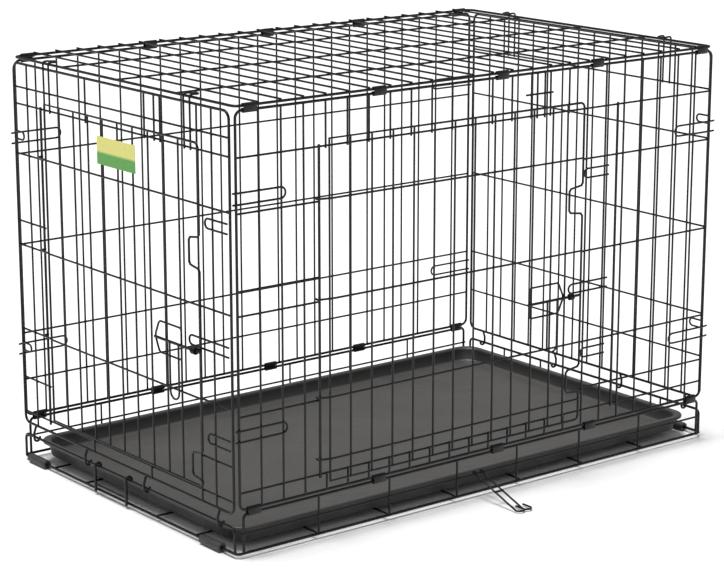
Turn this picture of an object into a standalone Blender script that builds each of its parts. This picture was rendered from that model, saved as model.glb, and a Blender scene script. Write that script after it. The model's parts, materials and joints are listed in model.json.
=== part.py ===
"""Wire dog crate: a folding cage of welded steel wire with two doors and a plastic floor pan.

X runs along the crate, with the end door at -X. Y runs across it, with the front door at -Y.
The origin is on the floor, under the middle of the box that holds the whole crate.
Each panel is drawn flat in its own plane with (u, v), and w is the distance outwards from it.
"""
import math

import bmesh
import bpy
from mathutils import Vector

MM = 0.001

# Driving sizes, in millimetres.
POST_X = 455.7
SIDE_Y = 289.5
END_X = 461.2
END_POST_Y = 283.0
PITCH = 38.1
LAST_BAY = 11
CRATE_X = 5.91
CRATE_Y = 48.228

RAIL_R = 2.1
WIRE_R = 1.6
LAYER = 1.3
RAIL_SIDES = 6
WIRE_SIDES = 4
CORNER_R = 10.0
END_CORNER_R = 12.0
CORNER_STEPS = 3

FLOOR_RAIL_Z = 7.0
WALL_LEG_X = 450.0
WALL_LEG_Y = 284.0
WALL_LEG_Z = 9.5
WALL_CORNER_R = 8.0
BASE_MID_Z = 36.0
BASE_MID_W = 1.5
END_HINGE_Z = 44.0
BASE_TOP_Z = 64.6
SIDE_BOTTOM_Z = 70.8
SIDE_TOP_Z = 632.1
TOP_Z = 638.3
END_BOTTOM_Z = 64.0
END_TOP_Z = 631.5

HEADER_Z = 568.0
SILL_Z = 95.0
SIDE_LEVELS = (491.0, 348.0, 205.0)
BACK_LEVELS = (489.0, 347.0, 205.0, 130.0)
RIGHT_END_LEVELS = (570.0, 492.0, 349.0, 206.0, 135.0)
LEFT_END_LEVELS = (492.0, 349.0, 215.0)
LEFT_SILL_Z = 81.0
LEFT_HEADER_Z = 569.0

FRONT_ROD_X = -317.0
FRONT_STIFFENER_X = 253.0
FRONT_HINGE_BAY = -8
FRONT_JAMB_BAY = 5
LEFT_ROD_Y = 204.0
LEFT_JAMB_Y = -208.0
ROD_W = 1.9
HOOK_W = 4.1
LOOP_R = 5.0

DOOR_W = 9.5
DOOR_RAIL_R = 1.8
DOOR_LIFT = 5.0
FITTING_W = 10.8
BOLT_W = 15.5
BOLT_R = 2.0

PAN_X = 448.0
PAN_Y = 273.0
PAN_BOTTOM_Z = 12.1
PAN_TOP_Z = 36.8
PAN_WALL = 2.2
PAN_RIM = 5.0
PAN_SLOPE = 4.0

FOOT_R = 7.0
FOOT_BORE_R = 2.7
FOOT_LENGTH = 50.0
FOOT_YS = (246.0, -228.0)

CLIP_XS = (-432.5, -209.5, 19.05, 209.5, 432.5)
CLIP_LENGTH = 22.0
CLIP_GAP = 0.6
CLIP_SHEET = 1.1

CORNER_HOOK_LEVELS = (513.0, 179.0)
CORNER_HOOK_BEND_X = 384.0
CORNER_HOOK_R = 8.0
KEEPER_R = 7.0
TOP_GRID_W = 3.2
HOOK_EYE_XS = (-25.0, -11.0)
FLOOR_LONG_YS = (200.0, 108.0, -85.0, -187.0)
RIGHT_WALL_YS = (191.0, 96.0, -197.0)
FLOOR_WIRE_XS = (-323.6, -194.1, -64.7, 64.7, 194.1, 323.6)


def front_place(u, v, w):
    return Vector((u, -SIDE_Y - w, v))


def back_place(u, v, w):
    return Vector((u, SIDE_Y + w, v))


def left_place(u, v, w):
    return Vector((-END_X - w, u, v))


def right_place(u, v, w):
    return Vector((END_X + w, u, v))


def top_place(u, v, w):
    return Vector((u, v, TOP_Z + w))


def world_place(u, v, w):
    return Vector((u, v, w))


def material(name, color, roughness, metallic):
    made = bpy.data.materials.new(name)
    made.use_nodes = True
    shader = made.node_tree.nodes["Principled BSDF"]
    shader.inputs["Base Color"].default_value = (*color, 1.0)
    shader.inputs["Roughness"].default_value = roughness
    shader.inputs["Metallic"].default_value = metallic
    return made


def direction(start, end):
    return (end - start).normalized()


def add_tube(bm, points, normal, radius, sides, closed):
    """Sweep a polygon along a flat path, with one of its corners towards the path's normal."""
    count = len(points)
    rings = []
    for i, point in enumerate(points):
        first = i == 0 and not closed
        last = i == count - 1 and not closed
        ahead = None if last else direction(point, points[(i + 1) % count])
        behind = ahead if first else direction(points[i - 1], point)
        ahead = behind if last else ahead
        side = normal.cross((ahead + behind).normalized())
        stretch = 1.0 / side.dot(normal.cross(behind))
        ring = []
        for k in range(sides):
            turn = math.tau * k / sides
            offset = normal * math.cos(turn) + side * (math.sin(turn) * stretch)
            ring.append(bm.verts.new((point + offset * radius) * MM))
        rings.append(ring)
    for i in range(count if closed else count - 1):
        here = rings[i]
        there = rings[(i + 1) % count]
        for k in range(sides):
            after = (k + 1) % sides
            bm.faces.new((here[k], here[after], there[after], there[k]))
    if not closed:
        bm.faces.new(rings[0])
        bm.faces.new(rings[-1])


def arc(centre, radius, start, end, steps):
    """Points on an arc in two dimensions, from the start angle to the end angle in degrees."""
    points = []
    for i in range(steps + 1):
        turn = math.radians(start + (end - start) * i / steps)
        points.append((centre[0] + radius * math.cos(turn), centre[1] + radius * math.sin(turn)))
    return points


def rounded_box(low, high, radius, steps=CORNER_STEPS):
    """The outline of a rectangle with round corners."""
    points = []
    corners = ((high[0], high[1], 0), (low[0], high[1], 90), (low[0], low[1], 180), (high[0], low[1], 270))
    for x, y, start in corners:
        centre = (x - math.copysign(radius, x - (low[0] + high[0]) / 2),
                  y - math.copysign(radius, y - (low[1] + high[1]) / 2))
        points += arc(centre, radius, start, start + 90, steps)
    return points


def joined_object(name, bm, finish, parent):
    bmesh.ops.recalc_face_normals(bm, faces=bm.faces)
    mesh = bpy.data.meshes.new(name)
    bm.to_mesh(mesh)
    bm.free()
    mesh.materials.append(finish)
    made = bpy.data.objects.new(name, mesh)
    bpy.context.scene.collection.objects.link(made)
    made.parent = parent
    made.matrix_parent_inverse = parent.matrix_world.inverted()
    return made


def pivot(name, x, y, z, parent):
    """An empty on a joint's axis, which carries the pieces that the joint moves."""
    empty = bpy.data.objects.new(name, None)
    bpy.context.scene.collection.objects.link(empty)
    if parent:
        empty.parent = parent
        empty.matrix_parent_inverse = parent.matrix_world.inverted()
    empty.location = Vector((x, y, z)) * MM
    bpy.context.view_layer.update()
    return empty


class Weldment:
    """Wires drawn in groups whose members don't touch, and then welded into one body."""

    def __init__(self, place):
        self.place = place
        self.groups = {}

    def add(self, group, points, normal, radius=WIRE_R, sides=WIRE_SIDES, closed=False):
        """A wire through (u, v, w) points, flat across the given (u, v, w) normal."""
        bm = self.groups.setdefault(group, bmesh.new())
        origin = self.place(0, 0, 0)
        placed = [self.place(*point) for point in points]
        add_tube(bm, placed, self.place(*normal) - origin, radius, sides, closed)

    def flat(self, group, points, w=0.0, radius=WIRE_R, sides=WIRE_SIDES, closed=False):
        """A wire that lies in the panel, w outwards from its plane."""
        self.add(group, [(u, v, w) for u, v in points], (0, 0, 1), radius, sides, closed)

    def rail(self, group, points, w=0.0, radius=RAIL_R, closed=False):
        self.flat(group, points, w, radius, RAIL_SIDES, closed)

    def upright(self, group, u, low, high, w=LAYER):
        self.flat(group, ((u, low), (u, high)), w)

    def across(self, group, v, low, high, w=-LAYER):
        self.flat(group, ((low, v), (high, v)), w)

    def build(self, name, finish, owner):
        """Union the groups into one object, whose place is measured from its owner's axis."""
        objects = []
        for number, bm in enumerate(self.groups.values()):
            part_name = name if number == 0 else f"{name}_weld_{number}"
            objects.append(joined_object(part_name, bm, finish, owner))
        body = objects[0]
        for guide in objects[1:]:
            guide.hide_render = True
            guide.display_type = "WIRE"
            union = body.modifiers.new(guide.name, "BOOLEAN")
            union.operation = "UNION"
            union.solver = "EXACT"
            union.object = guide
        return body


def bay(number):
    return number * PITCH


def side_frame(panel):
    outline = rounded_box((-POST_X, SIDE_BOTTOM_Z), (POST_X, SIDE_TOP_Z), CORNER_R)
    panel.rail("frame", outline, closed=True)


def corner_hooks(panel):
    """U-shaped hooks at the side's four corners, which hold the ends upright."""
    tip = POST_X + RAIL_R
    for end in (-1, 1):
        for v in CORNER_HOOK_LEVELS:
            bend = arc((CORNER_HOOK_BEND_X, v), CORNER_HOOK_R, 270, 90, 4)
            path = [(tip, v - CORNER_HOOK_R), *bend, (tip, v + CORNER_HOOK_R)]
            panel.flat("hooks", [(end * u, y) for u, y in path], HOOK_W)


def side_uprights(panel, numbers):
    """Uprights from rail to rail, cropped just short of the rails' middles."""
    for number in numbers:
        panel.upright("upright", bay(number), SIDE_BOTTOM_Z + 1.0, SIDE_TOP_Z - 1.0)


def make_back_side(finish, owner):
    panel = Weldment(back_place)
    side_frame(panel)
    for level in BACK_LEVELS:
        panel.across("across", level, -POST_X, POST_X)
    side_uprights(panel, range(-LAST_BAY, LAST_BAY + 1))
    corner_hooks(panel)
    return panel.build("back_side", finish, owner)


def front_door_keepers(panel):
    """Flat wire loops on the panel beside the door, which meet its frame and its bolt."""
    for v, nose in ((470.0, 184.0), (294.0, 156.0), (189.0, 184.0)):
        bend = arc((nose + KEEPER_R, v), KEEPER_R, 90, 270, 4)
        panel.flat("hooks", [(235.0, v + KEEPER_R), *bend, (235.0, v - KEEPER_R)], HOOK_W)


def make_front_side(finish, owner):
    panel = Weldment(front_place)
    side_frame(panel)
    panel.across("across", HEADER_Z, -POST_X, POST_X)
    panel.across("across", SILL_Z, -POST_X, POST_X)
    for level in (*SIDE_LEVELS, 383.0):
        panel.across("across", level, -POST_X, FRONT_ROD_X)
    for level in (*SIDE_LEVELS, 131.0):
        panel.across("across", level, bay(FRONT_JAMB_BAY) - 3.0, POST_X)
    side_uprights(panel, range(-LAST_BAY, FRONT_HINGE_BAY))
    side_uprights(panel, range(FRONT_JAMB_BAY, LAST_BAY + 1))
    for number in range(FRONT_HINGE_BAY, FRONT_JAMB_BAY):
        panel.upright("upright", bay(number), SIDE_BOTTOM_Z + 1.0, SILL_Z + 3.0)
        panel.upright("upright", bay(number), HEADER_Z - 3.0, SIDE_TOP_Z - 1.0)
    for x in (FRONT_ROD_X, FRONT_STIFFENER_X):
        panel.rail("upright", ((x, SILL_Z - 4.0), (x, HEADER_Z + 4.0)), ROD_W)
    for x in (88.0, 103.0):
        panel.upright("upright", x, HEADER_Z - 4.0, SIDE_TOP_Z - 1.0)
    panel.across("across", 600.0, 68.0, 122.0)
    corner_hooks(panel)
    front_door_keepers(panel)
    return panel.build("front_side", finish, owner)


def make_top(finish, owner):
    panel = Weldment(top_place)
    outline = rounded_box((-POST_X, -SIDE_Y), (POST_X, SIDE_Y), CORNER_R)
    panel.rail("frame", outline, closed=True)
    for y in (-150.0, 0.0, 150.0):
        panel.across("across", y, -POST_X, POST_X, 0.6)
    for number in range(-LAST_BAY, LAST_BAY + 1):
        panel.upright("upright", bay(number), -SIDE_Y - 3.0, SIDE_Y + 3.0, TOP_GRID_W)
    return panel.build("top_panel", finish, owner)


def end_frame(panel):
    outline = rounded_box((-END_POST_Y, END_BOTTOM_Z), (END_POST_Y, END_TOP_Z), END_CORNER_R)
    panel.rail("frame", outline, closed=True)


def hinge_hooks(panel, ys):
    """J-shaped hooks under an end, bent round the base's end rail, on which the end turns."""
    for y in ys:
        bend = arc((0.0, END_HINGE_Z), LOOP_R, 0, -200, 6)
        path = [(y, END_BOTTOM_Z, 0.0), (y, END_HINGE_Z + 9.0, LOOP_R)]
        path += [(y, v, w) for w, v in bend]
        panel.add("hooks", path, (1, 0, 0))


def make_right_end(finish, owner):
    panel = Weldment(right_place)
    end_frame(panel)
    for level in RIGHT_END_LEVELS:
        panel.across("across", level, -END_POST_Y, END_POST_Y)
    for number in range(7):
        y = 18.6 + number * 37.2
        panel.upright("upright", y, END_BOTTOM_Z, END_TOP_Z)
        panel.upright("upright", -y, END_BOTTOM_Z, END_TOP_Z)
    for y in (-193.4, -178.4, 178.4, 193.4):
        panel.upright("upright", y, RIGHT_END_LEVELS[0] - 3.0, END_TOP_Z)
    hinge_hooks(panel, (-250.0, -100.0, 62.0, 250.0))
    return panel.build("right_end", finish, owner)


def make_left_end(finish, owner):
    panel = Weldment(left_place)
    end_frame(panel)
    for level in (595.0, LEFT_HEADER_Z, LEFT_SILL_Z):
        panel.across("across", level, -END_POST_Y, END_POST_Y)
    for level in (*LEFT_END_LEVELS, 387.0, 137.0):
        panel.across("across", level, LEFT_ROD_Y, END_POST_Y)
    for level in (*LEFT_END_LEVELS, 132.0):
        panel.across("across", level, -END_POST_Y, LEFT_JAMB_Y + 3.0)
    for y in (-243.0, LEFT_JAMB_Y, 243.0):
        panel.upright("upright", y, END_BOTTOM_Z, END_TOP_Z)
    for y in (-78.0, 78.0):
        panel.upright("upright", y, END_BOTTOM_Z, LEFT_SILL_Z + 3.0)
        panel.upright("upright", y, LEFT_HEADER_Z - 3.0, END_TOP_Z)
    for y in (-193.0, -178.0, -118.0, -103.0, 178.0, 193.0):
        panel.upright("upright", y, LEFT_HEADER_Z - 3.0, END_TOP_Z)
    panel.rail("upright", ((LEFT_ROD_Y, LEFT_SILL_Z - 4.0), (LEFT_ROD_Y, LEFT_HEADER_Z + 4.0)), ROD_W)
    for v, nose in ((471.0, -206.0), (298.0, -186.0), (164.0, -206.0)):
        bend = arc((nose - KEEPER_R, v), KEEPER_R, 90, -90, 4)
        panel.flat("hooks", [(-282.0, v + KEEPER_R), *bend, (-282.0, v - KEEPER_R)], HOOK_W)
    hinge_hooks(panel, (250.0, 100.0, -62.0, -250.0))
    return panel.build("left_end", finish, owner)


def door_outline(hinge_u, latch_u, notch_u, low, high, notches):
    """A door's frame: round corners on the latch side, and a step inwards at each notch."""
    toward = math.copysign(1.0, hinge_u - latch_u)
    radius = 16.0
    corner_low = arc((0.0, 0.0), radius, -90, 0, 3)
    corner_high = arc((0.0, 0.0), radius, 0, 90, 3)
    centre_u = latch_u + toward * radius
    points = [(hinge_u, high), (hinge_u, low)]
    points += [(centre_u - toward * u, low + radius + v) for u, v in corner_low]
    for bottom, top in notches:
        points += [(latch_u, bottom - 8.0), (notch_u, bottom), (notch_u, top), (latch_u, top + 8.0)]
    points += [(centre_u - toward * u, high - radius + v) for u, v in corner_high]
    return points


def hinge_loops(door, rod_u, frame_u, levels):
    """Loops that carry a door on its hinge rod."""
    toward = math.copysign(1.0, rod_u - frame_u)
    for v in levels:
        bend = arc((0.0, ROD_W), LOOP_R, 90, 215, 4)
        path = [(frame_u, v, DOOR_W)]
        path += [(rod_u - toward * u, v, w) for u, w in bend]
        door.add("loops", path, (0, 1, 0))


def latch_guide(door, low_u, high_u, low_v, high_v):
    """The flat wire loop that the slide bolt runs in front of."""
    door.flat("across", rounded_box((low_u, low_v), (high_u, high_v), 8.0), FITTING_W, closed=True)


def make_front_door(finish, owner):
    door = Weldment(front_place)
    hinge_x, latch_x, notch_x, low, high = -304.8, 176.0, 149.0, 86.0, 580.0
    levels = [level + DOOR_LIFT for level in (*SIDE_LEVELS, 114.0)]
    outline = door_outline(hinge_x, latch_x, notch_x, low, high, ((134.0, 167.0), (415.0, 450.0)))
    door.rail("frame", outline, DOOR_W, DOOR_RAIL_R, closed=True)
    for level in levels:
        door.across("across", level, hinge_x, latch_x, FITTING_W)
    latch_guide(door, 70.0, 130.0, 263.0, 310.0)
    for number in range(-7, 4):
        door.upright("upright", bay(number), low, high, DOOR_W - LAYER)
    door.upright("upright", notch_x - 5.0, low, high, DOOR_W - LAYER)
    hinge_loops(door, FRONT_ROD_X, hinge_x, levels)
    return door.build("front_door", finish, owner)


def make_left_door(finish, owner):
    door = Weldment(left_place)
    hinge_y, latch_y, notch_y, low, high = 180.0, -222.0, -197.0, 91.0, 581.0
    levels = [level + DOOR_LIFT for level in LEFT_END_LEVELS]
    outline = door_outline(hinge_y, latch_y, notch_y, low, high, ((104.0, 136.0), (409.0, 446.0)))
    door.rail("frame", outline, DOOR_W, DOOR_RAIL_R, closed=True)
    for level in levels:
        door.across("across", level, hinge_y, latch_y, FITTING_W)
    latch_guide(door, -176.0, -119.0, 266.0, 312.0)
    for number in range(1, 9):
        door.upright("upright", hinge_y - number * 39.5, low, high, DOOR_W - LAYER)
    door.upright("upright", -172.0, low, high, DOOR_W - LAYER)
    hinge_loops(door, LEFT_ROD_Y, hinge_y, levels)
    return door.build("left_door", finish, owner)


def make_bolt(name, place, tip_u, tail_u, handle_us, v, finish, owner):
    """A slide bolt with the U-shaped pull that hangs from it."""
    bolt = Weldment(place)
    bolt.rail("bar", ((tip_u, v), (tail_u, v)), BOLT_W, BOLT_R)
    left, right = sorted(handle_us)
    curve = arc(((left + right) / 2, v - 70.0), (right - left) / 2, 180, 360, 5)
    bolt.flat("pull", [(left, v), *curve, (right, v)], BOLT_W + LAYER + 0.6)
    return bolt.build(name, finish, owner)


def make_base(finish, owner):
    """The floor ring with its long and cross wires."""
    frame = Weldment(world_place)
    ring = rounded_box((-END_X, -SIDE_Y), (END_X, SIDE_Y), WALL_CORNER_R)
    frame.rail("ring", ring, FLOOR_RAIL_Z, closed=True)
    for y in FLOOR_LONG_YS:
        frame.flat("long", ((-END_X, y), (END_X, y)), FLOOR_RAIL_Z + 0.5)
    for x in FLOOR_WIRE_XS:
        frame.flat("cross", ((x, -SIDE_Y - 1.5), (x, SIDE_Y + 1.5)), FLOOR_RAIL_Z + 2.9)
    return frame.build("base_frame", finish, owner)


def wall_rail(wall, leg_u, top):
    """A rail up one leg, along the top and down the other leg, on top of the floor ring."""
    bend = arc((leg_u - WALL_CORNER_R, top - WALL_CORNER_R), WALL_CORNER_R, 0, 90, CORNER_STEPS)
    leg = [(leg_u, WALL_LEG_Z), *bend]
    wall.rail("rail", leg + [(-u, v) for u, v in reversed(leg)])


def make_side_wall(name, place, finish, owner):
    """A long wall of the base, whose middle wire carries the closing hook."""
    wall = Weldment(place)
    wall_rail(wall, WALL_LEG_X, BASE_TOP_Z)
    wall.across("mid", BASE_MID_Z, -WALL_LEG_X - RAIL_R, WALL_LEG_X + RAIL_R, BASE_MID_W)
    for x in FLOOR_WIRE_XS:
        wall.upright("upright", x - math.copysign(5.0, x), WALL_LEG_Z + 0.3, BASE_TOP_Z, 0.0)
    return wall.build(name, finish, owner)


def make_end_wall(name, place, upright_ys, finish, owner):
    """A low end wall of the base, whose top rail carries an end panel."""
    wall = Weldment(place)
    wall_rail(wall, WALL_LEG_Y, END_HINGE_Z)
    for y in upright_ys:
        wall.upright("upright", y, WALL_LEG_Z + 0.3, END_HINGE_Z, 0.0)
    return wall.build(name, finish, owner)


def make_pan(finish, owner):
    """A moulded tray with sloping walls and a rolled rim."""
    low = PAN_BOTTOM_Z
    high = PAN_TOP_Z
    profile = ((PAN_SLOPE + PAN_RIM, low), (PAN_RIM, high - PAN_WALL), (1.5, high - PAN_WALL), (0.0, high - 5.0),
               (-1.8, high - 5.0), (0.0, high - 1.0), (2.0, high), (PAN_RIM + 2.0, high),
               (PAN_SLOPE + PAN_RIM + PAN_WALL, low + PAN_WALL))
    bm = bmesh.new()
    rings = []
    for inset, z in profile:
        outline = rounded_box((-PAN_X + inset, -PAN_Y + inset), (PAN_X - inset, PAN_Y - inset), 30.0, 4)
        rings.append([bm.verts.new(Vector((x, y, z)) * MM) for x, y in outline])
    for here, there in zip(rings, rings[1:]):
        for k in range(len(here)):
            after = (k + 1) % len(here)
            bm.faces.new((here[k], here[after], there[after], there[k]))
    bm.faces.new(rings[0])
    bm.faces.new(rings[-1])
    return joined_object("pan", bm, finish, owner)


def make_pan_stop(finish, owner):
    """A gravity stop: two legs that hang from the end rail in front of the pan."""
    stop = Weldment(world_place)
    outside = -END_X - LOOP_R
    for y in (72.0, -13.0):
        bend = arc((-END_X, END_HINGE_Z), LOOP_R, 180, -10, 6)
        path = [(outside, y, 5.0), *[(x, y, z) for x, z in bend]]
        stop.add("legs", path, (0, 1, 0))
    stop.add("bar", ((outside + 0.7, -16.0, 16.0), (outside + 0.7, 75.0, 16.0)), (1, 0, 0))
    return stop.build("pan_stop", finish, owner)


def make_closing_hook(finish, owner):
    """The double hook that holds the folded crate shut, lying out on the floor."""
    hook = Weldment(world_place)
    pivot_y = -SIDE_Y - BASE_MID_W
    reach = 92.0
    tip_z = 3.4
    for x in HOOK_EYE_XS:
        eye = arc((pivot_y, BASE_MID_Z), 4.6, -20, 200, 6)
        path = [(x, y, z) for y, z in eye]
        path.append((x, pivot_y - reach, tip_z + 1.0))
        hook.add("arms", path, (1, 0, 0))
        curl = arc((x + 7.0, pivot_y - reach), 7.0, 180, 360, 6)
        barb = [(u, y, tip_z) for u, y in [(x, pivot_y - reach + 6.0), *curl, (x + 14.0, pivot_y - reach + 16.0)]]
        hook.add("curl_" + str(x), barb, (0, 0, 1))
    half_y = pivot_y - reach * 0.5
    half_z = BASE_MID_Z - (BASE_MID_Z - tip_z) * 0.5
    hook.add("tie", ((HOOK_EYE_XS[0] - 1.0, half_y, half_z), (HOOK_EYE_XS[1] + 1.0, half_y, half_z)), (0, 0, 1))
    return hook.build("closing_hook", finish, owner)


def make_foot(name, x, y, finish, owner):
    """A sleeve round the base's end rail, with a narrow flat on the floor."""
    bm = bmesh.new()
    ends = (y - FOOT_LENGTH / 2, y + FOOT_LENGTH / 2)
    sides = 14
    rings = []
    flat_r = FOOT_R / math.cos(math.pi / sides)
    for radius in (flat_r, FOOT_BORE_R):
        for end in ends:
            ring = []
            for k in range(sides):
                turn = math.tau * (k + 0.5) / sides
                at = (x + radius * math.sin(turn), end, FLOOR_RAIL_Z + radius * math.cos(turn))
                ring.append(bm.verts.new(Vector(at) * MM))
            rings.append(ring)
    outer_a, outer_b, inner_a, inner_b = rings
    for here, there in ((outer_a, outer_b), (outer_b, inner_b), (inner_b, inner_a), (inner_a, outer_a)):
        for k in range(sides):
            after = (k + 1) % sides
            bm.faces.new((here[k], here[after], there[after], there[k]))
    return joined_object(name, bm, finish, owner)


def make_clip(name, x, side, low_z, high_z, finish, owner):
    """A sheet-steel clip closed round two rails, one above the other, with its seam inwards."""
    inner = RAIL_R + CLIP_GAP
    outer = inner + CLIP_SHEET
    seam = 0.8
    middle = (low_z + high_z) / 2
    path = {}
    for radius in (outer, inner):
        top = arc((0.0, high_z), radius, 0, 180, 4)
        bottom = arc((0.0, low_z), radius, 180, 360, 4)
        path[radius] = [(radius, middle + seam), *top, *bottom, (radius, middle - seam)]
    section = path[outer] + path[inner][::-1]
    bm = bmesh.new()
    for end in (-CLIP_LENGTH / 2, CLIP_LENGTH / 2):
        for w, z in section:
            at = (x + end, side * (SIDE_Y - w), z)
            bm.verts.new(Vector(at) * MM)
    bm.verts.ensure_lookup_table()
    count = len(section)
    bm.faces.new([bm.verts[k] for k in range(count)])
    bm.faces.new([bm.verts[count + k] for k in range(count)])
    for k in range(count):
        after = (k + 1) % count
        bm.faces.new((bm.verts[k], bm.verts[after], bm.verts[count + after], bm.verts[count + k]))
    return joined_object(name, bm, finish, owner)


def make_label(finish, owner):
    """A plain card in front of the end door's upper wires."""
    bm = bmesh.new()
    bmesh.ops.create_cube(bm, size=MM)
    bmesh.ops.scale(bm, verts=bm.verts, vec=(0.8, 100.0, 41.0))
    at = left_place(-22.0, 536.0, FITTING_W + 3.2)
    bmesh.ops.translate(bm, verts=bm.verts, vec=Vector((at.x, at.y, at.z)) * MM)
    return joined_object("label_card", bm, finish, owner)


def make_base_group(steel, pan_plastic, foot_rubber):
    base_axis = pivot("base_axis", 0, 0, 0, None)
    make_base(steel, base_axis)
    make_side_wall("base_wall_front", front_place, steel, base_axis)
    make_side_wall("base_wall_back", back_place, steel, base_axis)
    make_end_wall("base_wall_left", left_place, (), steel, base_axis)
    make_end_wall("base_wall_right", right_place, RIGHT_WALL_YS, steel, base_axis)
    number = 0
    for x in (-END_X, END_X):
        for y in FOOT_YS:
            number += 1
            make_foot(f"foot_{number}", x, y, foot_rubber, base_axis)
    make_pan(pan_plastic, pivot("pan_axis", 0, 0, PAN_BOTTOM_Z, base_axis))
    make_pan_stop(steel, pivot("pan_stop_axis", -END_X, 0, END_HINGE_Z, base_axis))
    make_closing_hook(steel, pivot("closing_hook_axis", 0, -SIDE_Y - BASE_MID_W, BASE_MID_Z, base_axis))
    return base_axis


def make_sides(base_axis, steel, clip_steel):
    front_axis = pivot("front_side_axis", 0, -SIDE_Y, BASE_TOP_Z, base_axis)
    back_axis = pivot("back_side_axis", 0, SIDE_Y, BASE_TOP_Z, base_axis)
    make_front_side(steel, front_axis)
    make_back_side(steel, back_axis)
    top_axis = pivot("top_axis", 0, -SIDE_Y, SIDE_TOP_Z, front_axis)
    make_top(steel, top_axis)
    for side_name, side, owner in (("front", -1, front_axis), ("back", 1, back_axis)):
        for number, x in enumerate(CLIP_XS, start=1):
            make_clip(f"{side_name}_top_clip_{number}", x, side, SIDE_TOP_Z, TOP_Z, clip_steel, top_axis)
            make_clip(f"{side_name}_bottom_clip_{number}", x, side, BASE_TOP_Z, SIDE_BOTTOM_Z, clip_steel, owner)
    door_axis = pivot("front_door_axis", FRONT_ROD_X, -SIDE_Y - ROD_W, BASE_TOP_Z, front_axis)
    make_front_door(steel, door_axis)
    bolt_axis = pivot("front_bolt_axis", 63.0, -SIDE_Y - BOLT_W, 286.0, door_axis)
    make_bolt("front_bolt", front_place, 168.0, 63.0, (101.0, 121.0), 286.0, steel, bolt_axis)


def make_ends(base_axis, steel, card):
    left_axis = pivot("left_end_axis", -END_X, 0, END_HINGE_Z, base_axis)
    right_axis = pivot("right_end_axis", END_X, 0, END_HINGE_Z, base_axis)
    make_left_end(steel, left_axis)
    make_right_end(steel, right_axis)
    door_axis = pivot("left_door_axis", -END_X - ROD_W, LEFT_ROD_Y, END_HINGE_Z, left_axis)
    make_left_door(steel, door_axis)
    make_label(card, door_axis)
    bolt_axis = pivot("left_bolt_axis", -END_X - BOLT_W, -115.0, 289.0, door_axis)
    make_bolt("left_bolt", left_place, -232.0, -115.0, (-156.0, -178.0), 289.0, steel, bolt_axis)


def main():
    for old in list(bpy.data.objects):
        bpy.data.objects.remove(old, do_unlink=True)
    steel = material("black_coated_wire", (0.012, 0.012, 0.014), 0.32, 0.0)
    clip_steel = material("black_clip_steel", (0.016, 0.016, 0.018), 0.4, 0.0)
    pan_plastic = material("pan_plastic", (0.045, 0.043, 0.045), 0.55, 0.0)
    foot_rubber = material("grey_foot_plastic", (0.24, 0.24, 0.25), 0.6, 0.0)
    card = material("printed_card", (0.75, 0.6, 0.08), 0.5, 0.0)
    base_axis = make_base_group(steel, pan_plastic, foot_rubber)
    make_sides(base_axis, steel, clip_steel)
    make_ends(base_axis, steel, card)
    base_axis.location = Vector((CRATE_X, CRATE_Y, 0)) * MM


main()
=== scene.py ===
"""Looks of the folding wire dog crate: round coated wire, weld nuggets, moulded pan, clips and card."""
import json
import math

import bmesh
import bpy
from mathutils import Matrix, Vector


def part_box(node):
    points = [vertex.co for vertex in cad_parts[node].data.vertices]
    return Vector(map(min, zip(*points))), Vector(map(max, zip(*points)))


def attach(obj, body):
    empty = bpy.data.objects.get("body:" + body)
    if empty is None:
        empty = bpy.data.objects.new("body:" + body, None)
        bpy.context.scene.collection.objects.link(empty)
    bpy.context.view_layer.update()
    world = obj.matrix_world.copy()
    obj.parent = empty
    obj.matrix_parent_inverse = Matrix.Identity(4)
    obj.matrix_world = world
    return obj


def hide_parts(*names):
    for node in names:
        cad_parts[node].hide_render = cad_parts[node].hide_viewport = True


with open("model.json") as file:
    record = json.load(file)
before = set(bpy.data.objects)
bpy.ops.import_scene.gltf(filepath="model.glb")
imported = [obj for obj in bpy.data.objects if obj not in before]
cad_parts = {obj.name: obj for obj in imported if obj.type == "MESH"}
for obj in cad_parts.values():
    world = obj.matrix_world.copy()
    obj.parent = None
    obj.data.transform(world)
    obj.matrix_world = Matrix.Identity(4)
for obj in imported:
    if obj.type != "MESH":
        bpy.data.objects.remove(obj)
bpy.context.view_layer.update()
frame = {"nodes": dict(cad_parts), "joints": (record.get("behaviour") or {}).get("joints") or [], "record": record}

MM = 0.001
JOINTS = {joint["name"]: joint for joint in frame["joints"]}


def axis_mm(name):
    """A joint's place, in millimetres."""
    return Vector(JOINTS[name]["pos_m"]) / MM


def box_mm(node):
    low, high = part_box(node)
    return low / MM, high / MM


# The crate's own middle and its main sizes in millimetres, read from the frame.
LEFT_AXIS = axis_mm("left_end_fold")
RIGHT_AXIS = axis_mm("right_end_fold")
FRONT_AXIS = axis_mm("front_side_fold")
BACK_AXIS = axis_mm("back_side_fold")
SIDE_LOW, SIDE_HIGH = box_mm("back_side")
MID_X = (LEFT_AXIS.x + RIGHT_AXIS.x) / 2
MID_Y = (FRONT_AXIS.y + BACK_AXIS.y) / 2
END_X = (RIGHT_AXIS.x - LEFT_AXIS.x) / 2
SIDE_Y = (BACK_AXIS.y - FRONT_AXIS.y) / 2
POST_X = (SIDE_HIGH.x - SIDE_LOW.x) / 2 - 2.1
END_POST_Y = SIDE_Y - 6.5
END_HINGE_Z = LEFT_AXIS.z
BASE_TOP_Z = FRONT_AXIS.z
SIDE_BOTTOM_Z = BASE_TOP_Z + 6.2
SIDE_TOP_Z = axis_mm("top_fold").z
TOP_Z = SIDE_TOP_Z + 6.2
END_BOTTOM_Z = BASE_TOP_Z - 0.6
END_TOP_Z = SIDE_TOP_Z - 0.6
FLOOR_RAIL_Z = 7.0
BASE_MID_Z = axis_mm("closing_hook_swing").z
PITCH = 38.1
LAST_BAY = 11

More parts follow.
